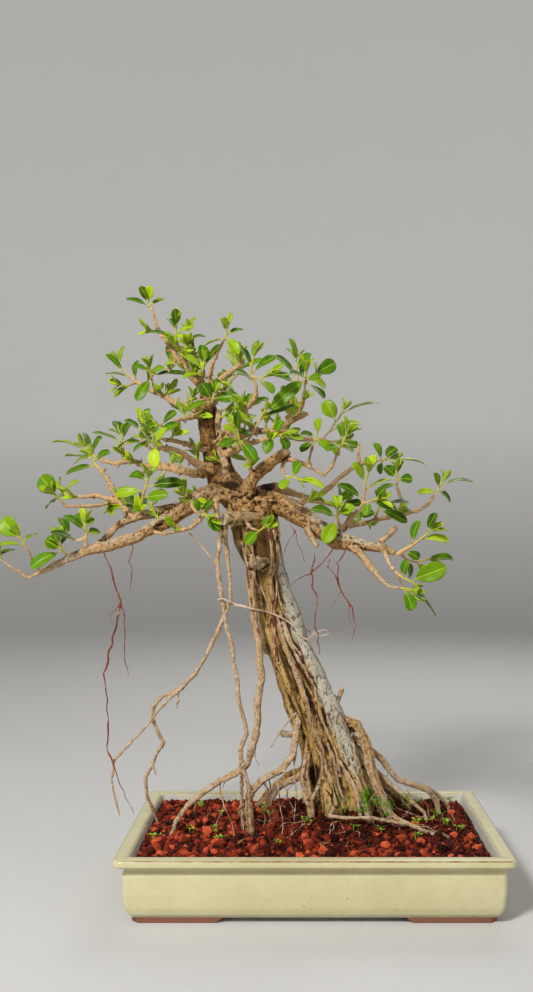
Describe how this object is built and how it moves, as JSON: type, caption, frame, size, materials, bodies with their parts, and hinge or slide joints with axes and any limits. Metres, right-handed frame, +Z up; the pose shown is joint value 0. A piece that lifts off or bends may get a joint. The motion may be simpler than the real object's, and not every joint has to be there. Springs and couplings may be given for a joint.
{
  "type": "bonsai",
  "caption": "Bonsai fig with a slanting fused trunk, long low limbs, prop and aerial roots and small oval leaves, in a long shallow tray with corner feet and red grit",
  "frame": {"origin": "centre of the whole object's bounding box in plan, at the underside of the pot's feet", "axes": "+Z up, -Y the front of the tree, +X to the right as seen from the front; the pot's long side lies along X"},
  "size_m": [0.5008, 0.2832, 0.5966],
  "materials": {
    "glaze": "pale yellow-green speckled gloss glaze, brown bare clay feet",
    "net": "dark moulded plastic net",
    "soil": "rough red-brown lava grit with dark humus",
    "bark": "rough tan bark with grey-white patches and dark furrows",
    "red_root": "thin red-brown root skin",
    "fibre": "dull twisted natural fibre",
    "leaf": "leathery green leaf, glossy above and duller beneath, on green stems"
  },
  "bodies": {
    "root": {"trunk": "bark", "pot": "glaze", "soil": "soil", "drain_screen_left": "net", "drain_screen_right": "net", "aerial_root_left": "red_root", "aerial_root_short": "red_root", "aerial_root_right_inner": "red_root", "aerial_root_right_middle": "red_root", "aerial_root_right_outer": "red_root", "binding_tie": "fibre", "shoot_left_limb": "leaf", "shoot_left_tip_twig": "leaf", "shoot_left_under_spur": "leaf", "shoot_left_top_spur": "leaf", "shoot_left_low_twig": "leaf", "shoot_left_up_branch": "leaf", "shoot_left_rear_twig": "leaf", "shoot_middle_left_branch": "leaf", "shoot_middle_left_spur": "leaf", "shoot_middle_left_riser": "leaf", "shoot_left_mid_twig": "leaf", "shoot_left_inner_twig": "leaf", "shoot_front_left_branch": "leaf", "shoot_front_left_upper": "leaf", "shoot_orange_twig": "leaf", "shoot_upper_left_branch": "leaf", "shoot_upper_left_spur": "leaf", "shoot_top_front_spur": "leaf", "shoot_apex_branch": "leaf", "shoot_apex_tip": "leaf", "shoot_apex_side": "leaf", "shoot_apex_rear_twig": "leaf", "shoot_apex_mid_spur": "leaf", "shoot_apex_front_twig": "leaf", "shoot_crown_right_riser": "leaf", "shoot_crown_riser_left": "leaf", "shoot_crown_riser_right": "leaf", "shoot_big_leaf_spur": "leaf", "shoot_crown_back_branch": "leaf", "shoot_crown_front_branch": "leaf", "shoot_right_arm_twig": "leaf", "shoot_right_arm_riser": "leaf", "shoot_right_arm_low": "leaf", "shoot_right_arm_under": "leaf", "shoot_right_high_branch": "leaf", "shoot_right_near_riser": "leaf", "shoot_right_near_spur": "leaf", "shoot_right_far_spur": "leaf", "shoot_right_far_riser": "leaf", "shoot_right_far_branch": "leaf", "shoot_right_low_fork": "leaf", "shoot_right_drop_twig": "leaf", "shoot_right_limb": "leaf", "shoot_front_short_twig": "leaf", "shoot_rear_low_limb": "leaf", "shoot_rear_low_side": "leaf", "shoot_rear_left_limb": "leaf", "shoot_rear_upper_branch": "leaf", "shoot_rear_top_branch": "leaf"}
  },
  "joints": []
}
